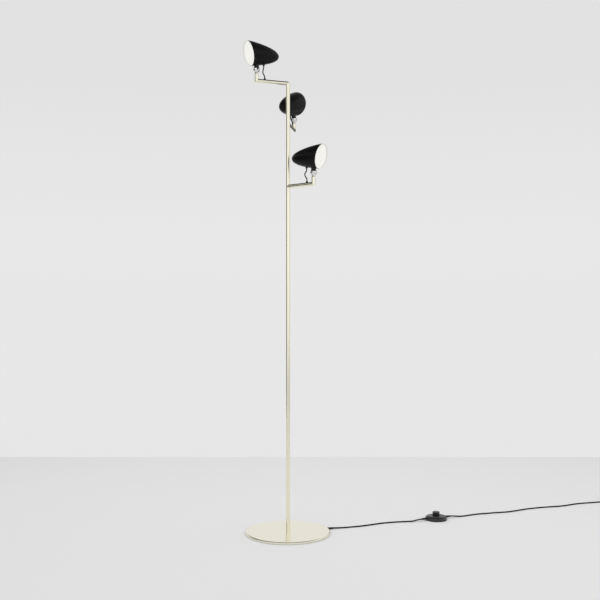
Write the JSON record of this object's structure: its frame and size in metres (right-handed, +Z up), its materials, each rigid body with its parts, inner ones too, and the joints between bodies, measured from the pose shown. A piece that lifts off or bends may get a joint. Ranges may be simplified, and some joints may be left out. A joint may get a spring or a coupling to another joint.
{
  "type": "floor lamp",
  "caption": "Free-standing floor lamp with a slim tube pole, short stepped arms, swivelling bullet shades on ball knuckles, a round base and a foot switch in the lead.",
  "frame": {"origin": "centre of the base's underside, on the floor", "axes": "+Z up along the pole; the top arm points 20 degrees past -X towards -Y; the picture's camera looks along +Y"},
  "size_m": [1.6141, 0.7083, 1.7365],
  "materials": {
    "brass": "pale champagne brass, polished tube and satin plate",
    "felt": "thin felt",
    "steel": "plain zinc-plated steel",
    "chrome": "polished chrome",
    "screw_dark": "blackened steel",
    "washer": "nylon",
    "shade_black": "fine matt black paint",
    "aluminium": "turned aluminium",
    "board_white": "white circuit board",
    "reflector_white": "white moulded plastic",
    "opal": "opal acrylic",
    "cable_black": "black flexible sheath",
    "wire_white": "white insulation",
    "switch_black": "moulded black plastic",
    "switch_grey": "moulded dark grey plastic with a fine grain",
    "insulator": "white moulded plastic",
    "plug_black": "moulded black plastic",
    "nickel": "nickel-plated brass"
  },
  "bodies": {
    "stand": {"base_plate": "brass", "base_pad": "felt", "pole_insert": "steel", "pole_nut": "steel", "base_bush": "cable_black", "pole": "brass", "arm_top": "brass", "arm_middle": "brass", "arm_bottom": "brass", "inner_cable": "wire_white", "arm_bushes": "cable_black", "switch_base": "switch_black", "switch_cover": "switch_grey", "switch_spring": "steel", "switch_contacts": "insulator", "switch_screws": "steel", "switch_sleeves": "cable_black", "lead_near": "cable_black", "lead_far": "cable_black", "lead_coil": "cable_black", "coil_tie": "cable_black", "plug_body": "plug_black", "plug_pins": "nickel"},
    "swivel_top": {"knuckle_lower_top": "chrome", "knuckle_washer_top": "washer", "knuckle_screw_top": "screw_dark", "jumper_top": "cable_black"},
    "head_top": {"knuckle_upper_top": "chrome", "shade_nut_top": "steel", "shade_top": "shade_black", "heat_sink_top": "aluminium", "led_board_top": "board_white", "reflector_top": "reflector_white", "diffuser_top": "opal", "shade_bush_top": "cable_black"},
    "swivel_middle": {"knuckle_lower_middle": "chrome", "knuckle_washer_middle": "washer", "knuckle_screw_middle": "screw_dark", "jumper_middle": "cable_black"},
    "head_middle": {"knuckle_upper_middle": "chrome", "shade_nut_middle": "steel", "shade_middle": "shade_black", "heat_sink_middle": "aluminium", "led_board_middle": "board_white", "reflector_middle": "reflector_white", "diffuser_middle": "opal", "shade_bush_middle": "cable_black"},
    "swivel_bottom": {"knuckle_lower_bottom": "chrome", "knuckle_washer_bottom": "washer", "knuckle_screw_bottom": "screw_dark", "jumper_bottom": "cable_black"},
    "head_bottom": {"knuckle_upper_bottom": "chrome", "shade_nut_bottom": "steel", "shade_bottom": "shade_black", "heat_sink_bottom": "aluminium", "led_board_bottom": "board_white", "reflector_bottom": "reflector_white", "diffuser_bottom": "opal", "shade_bush_bottom": "cable_black"},
    "foot_button": {"switch_button": "switch_black"}
  },
  "joints": [
    {"name": "pan_top", "type": "hinge", "parent": "stand", "child": "swivel_top", "pos_m": [-0.10994, -0.04002, 1.641], "axis": [0, 0, 1], "range_deg": [-95, 85], "deforming": ["jumper_top"]},
    {"name": "tilt_top", "type": "hinge", "parent": "swivel_top", "child": "head_top", "pos_m": [-0.10994, -0.04002, 1.641], "axis": [-0.4226, 0.9063, 0], "range_deg": [-50, 30], "deforming": ["jumper_top"]},
    {"name": "pan_middle", "type": "hinge", "parent": "stand", "child": "swivel_middle", "pos_m": [0.02032, 0.11522, 1.497], "axis": [0, 0, 1], "range_deg": [-73, 107], "deforming": ["jumper_middle"]},
    {"name": "tilt_middle", "type": "hinge", "parent": "swivel_middle", "child": "head_middle", "pos_m": [0.02032, 0.11522, 1.497], "axis": [0.891, -0.454, 0], "range_deg": [-67, 13], "deforming": ["jumper_middle"]},
    {"name": "pan_bottom", "type": "hinge", "parent": "stand", "child": "swivel_bottom", "pos_m": [0.08963, -0.07521, 1.274], "axis": [0, 0, 1], "range_deg": [-102, 78], "deforming": ["jumper_bottom"]},
    {"name": "tilt_bottom", "type": "hinge", "parent": "swivel_bottom", "child": "head_bottom", "pos_m": [0.08963, -0.07521, 1.274], "axis": [-0.4695, -0.8829, 0], "range_deg": [-50, 30], "deforming": ["jumper_bottom"]},
    {"name": "button_press", "type": "slide", "parent": "stand", "child": "foot_button", "axis": [0, 0, -1], "range_m": [0, 0.005], "stiffness_N_per_m": 800, "springref_m": -0.01, "deforming": ["switch_spring"]}
  ]
}
